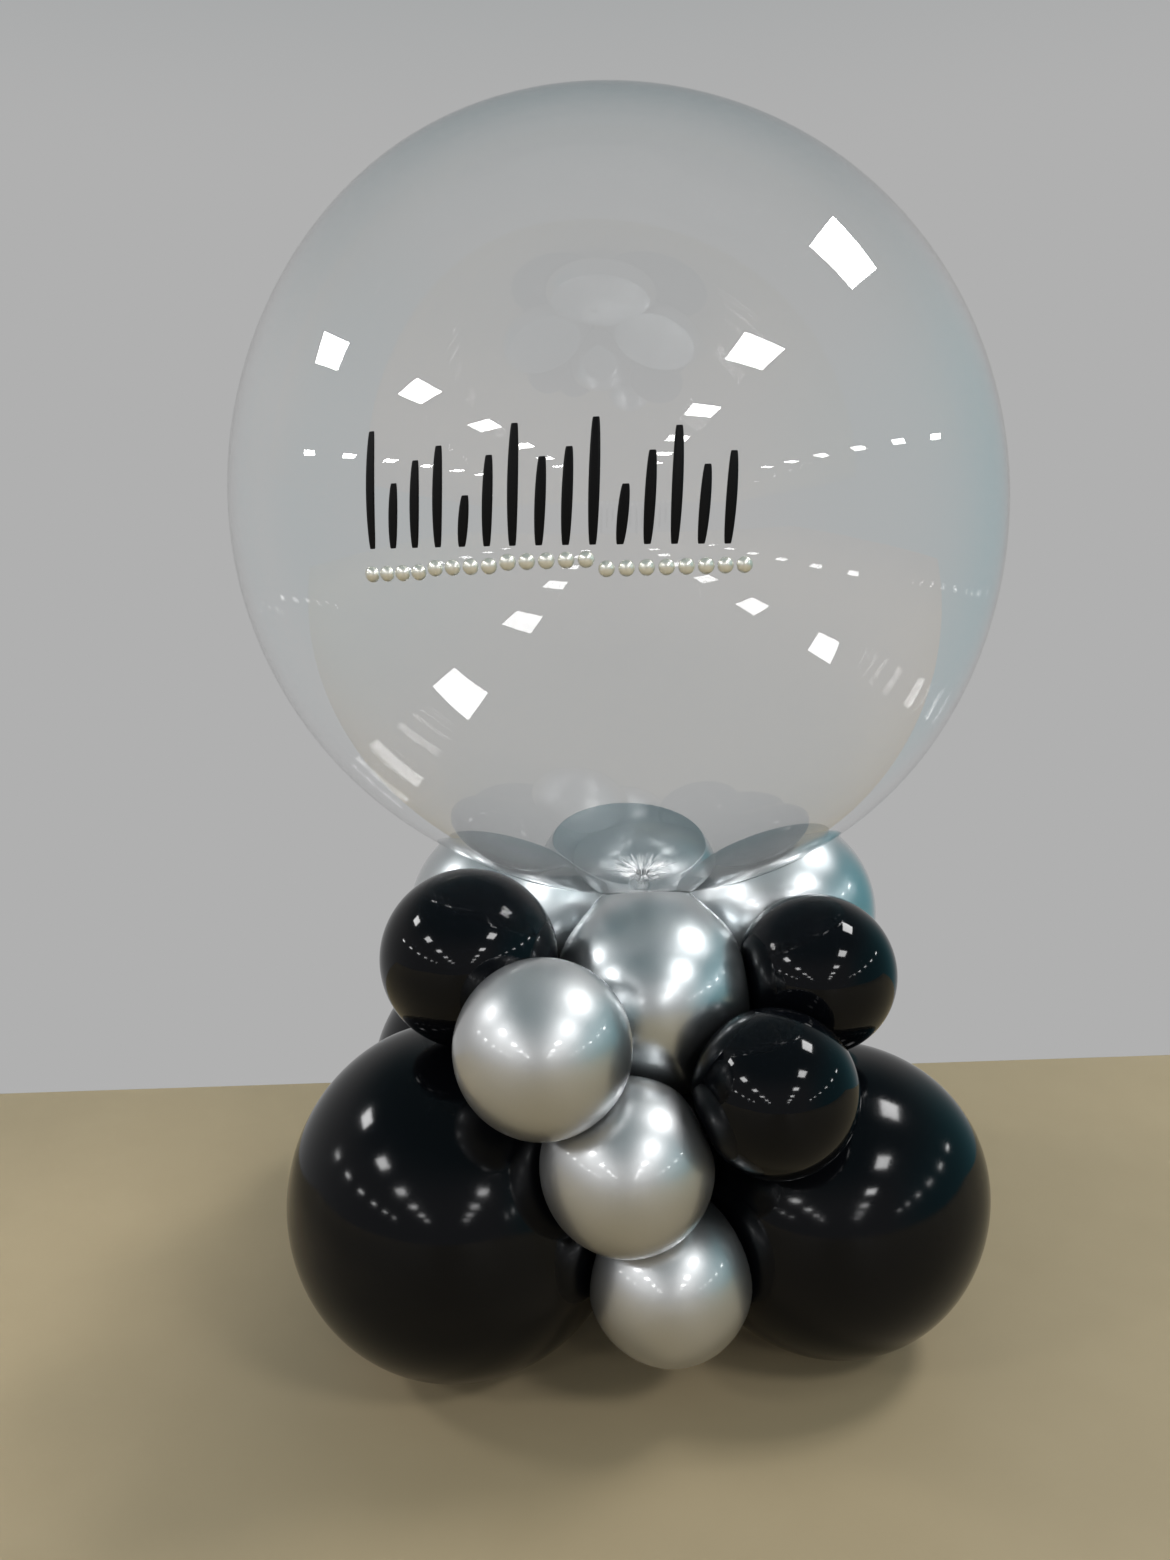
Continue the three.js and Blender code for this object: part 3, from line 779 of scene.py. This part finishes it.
def make_tie():
    """Thin black elastic wound round the stub of the neck, pulled tight."""
    way = bubble.knot_way
    first, second = square_to(way)
    tall = TIE["pitch"] * TIE["winds"]
    start = neck_top() + TIE["place"] * NECK["stub"] - tall / 2
    turn = Matrix((first, second, way)).transposed().to_euler()

    tree = bpy.data.node_groups.new("wind_elastic", "GeometryNodeTree")
    for socket in ("Winds", "Radius", "Height", "Strand"):
        tree.interface.new_socket(socket, in_out="INPUT", socket_type="NodeSocketFloat")
    tree.interface.new_socket("Geometry", in_out="OUTPUT", socket_type="NodeSocketGeometry")
    given = add(tree, "NodeGroupInput")
    coil = add(tree, "GeometryNodeCurveSpiral",
               {"Resolution": TIE["turn_steps"], "Rotations": given.outputs["Winds"],
                "Start Radius": given.outputs["Radius"], "End Radius": given.outputs["Radius"],
                "Height": given.outputs["Height"]})
    strand = add(tree, "GeometryNodeCurvePrimitiveCircle",
                 {"Resolution": TIE["sides"], "Radius": given.outputs["Strand"]})
    wound = add(tree, "GeometryNodeCurveToMesh",
                {"Curve": coil.outputs[0], "Profile Curve": strand.outputs[0], "Fill Caps": True})
    put = add(tree, "GeometryNodeTransform",
              {"Geometry": wound.outputs[0], "Translation": bubble.middle + way * start,
               "Rotation": turn})
    real = add(tree, "GeometryNodeRealizeInstances", {"Geometry": put.outputs[0]})
    painted = add(tree, "GeometryNodeSetMaterial",
                  {"Geometry": real.outputs[0], "Material": finishes["black_latex"]})
    add(tree, "NodeGroupOutput", {"Geometry": painted.outputs[0]})

    winding = bpy.data.objects.new("neck_tie_winding", bpy.data.meshes.new("neck_tie"))
    bpy.context.collection.objects.link(winding)
    set_inputs(winding, tree, {"Winds": TIE["winds"], "Height": tall, "Strand": TIE["strand"],
                               "Radius": NECK["radius"] + TIE["clear"] + TIE["strand"]})
    place_in(made_plain(winding), "black_latex", "bubble_neck_tie")


make_tie()

# ------------------------------------------------------------------ studio
FLOOR = {"back": 0.335, "front": -4.0, "side": 4.0, "level": -0.5 * MM}
PANEL = {"size": 0.52, "height": 2.0, "watts": 25.0, "pace": 1.78, "rows": 6}
PANEL_COLUMNS = ((-2.45, 0.1), (1.42, 0.05), (-6.4, 0.3), (6.6, 0.6))  # across, and where it starts
# Soft fill light: a wall in front, then one behind, a blue-green one on the right, and a darker
# ceiling. Each covers the last from one share of its axis to another.
FRONT_WALL = "#A4A5A6"
OTHER_WALLS = (("Y", -0.6, 0.6, "#B0B0B0"), ("X", 0.45, 0.95, "#5A99A3"), ("Z", 0.3, 0.8, "#5F767B"))


def make_stage():
    """A plain pale floor that ends a little behind the piece."""
    paint, tree = new_material("pale_floor")
    place = add(tree, "ShaderNodeTexCoord").outputs["Object"]
    cloud = add(tree, "ShaderNodeTexNoise",
                {"Vector": place, "Scale": per_metre(60), "Detail": 4.0})
    tone = add(tree, "ShaderNodeMix",
               {"Factor": cloud.outputs["Fac"], "A": linear("#A39273"), "B": linear("#A99879")},
               data_type="RGBA")
    shader = add(tree, "ShaderNodeBsdfPrincipled",
                 {"Base Color": tone.outputs["Result"], "Roughness": 0.55})
    add(tree, "ShaderNodeOutputMaterial", {"Surface": shader.outputs[0]})
    side, front, back, level = (FLOOR[key] for key in ("side", "front", "back", "level"))
    corners = [(-side, front, level), (side, front, level), (side, back, level),
               (-side, back, level)]
    plain_mesh("floor", corners, [(0, 1, 2, 3)], paint)


def make_panels():
    """Columns of square soft panels overhead, which run forward from above the piece."""
    for column, (across, start) in enumerate(PANEL_COLUMNS):
        for row in range(PANEL["rows"]):
            lamp = bpy.data.lights.new(f"panel_{column}_{row}", "AREA")
            lamp.shape = "SQUARE"
            lamp.size = PANEL["size"]
            lamp.energy = PANEL["watts"]
            light = bpy.data.objects.new(lamp.name, lamp)
            light.location = (across, start - PANEL["pace"] * row, PANEL["height"])
            light.visible_camera = False
            bpy.context.collection.objects.link(light)


def make_walls():
    world = bpy.data.worlds.new("studio_fill")
    world.use_nodes = True
    tree = world.node_tree
    tree.nodes.clear()
    way = add(tree, "ShaderNodeTexCoord").outputs["Generated"]
    axes = add(tree, "ShaderNodeSeparateXYZ", {0: way})
    tone = linear(FRONT_WALL)
    for axis, start, end, colour in OTHER_WALLS:
        share = add(tree, "ShaderNodeMapRange",
                    {"Value": axes.outputs[axis], "From Min": start, "From Max": end},
                    interpolation_type="SMOOTHSTEP")
        cover = add(tree, "ShaderNodeMix",
                    {"Factor": share.outputs["Result"], "A": tone, "B": linear(colour)},
                    data_type="RGBA")
        tone = cover.outputs["Result"]
    air = add(tree, "ShaderNodeBackground", {"Color": tone, "Strength": 1.0})
    add(tree, "ShaderNodeOutputWorld", {"Surface": air.outputs[0]})
    bpy.context.scene.world = world


make_stage()
make_panels()
make_walls()
bpy.context.scene.view_settings.view_transform = "Standard"
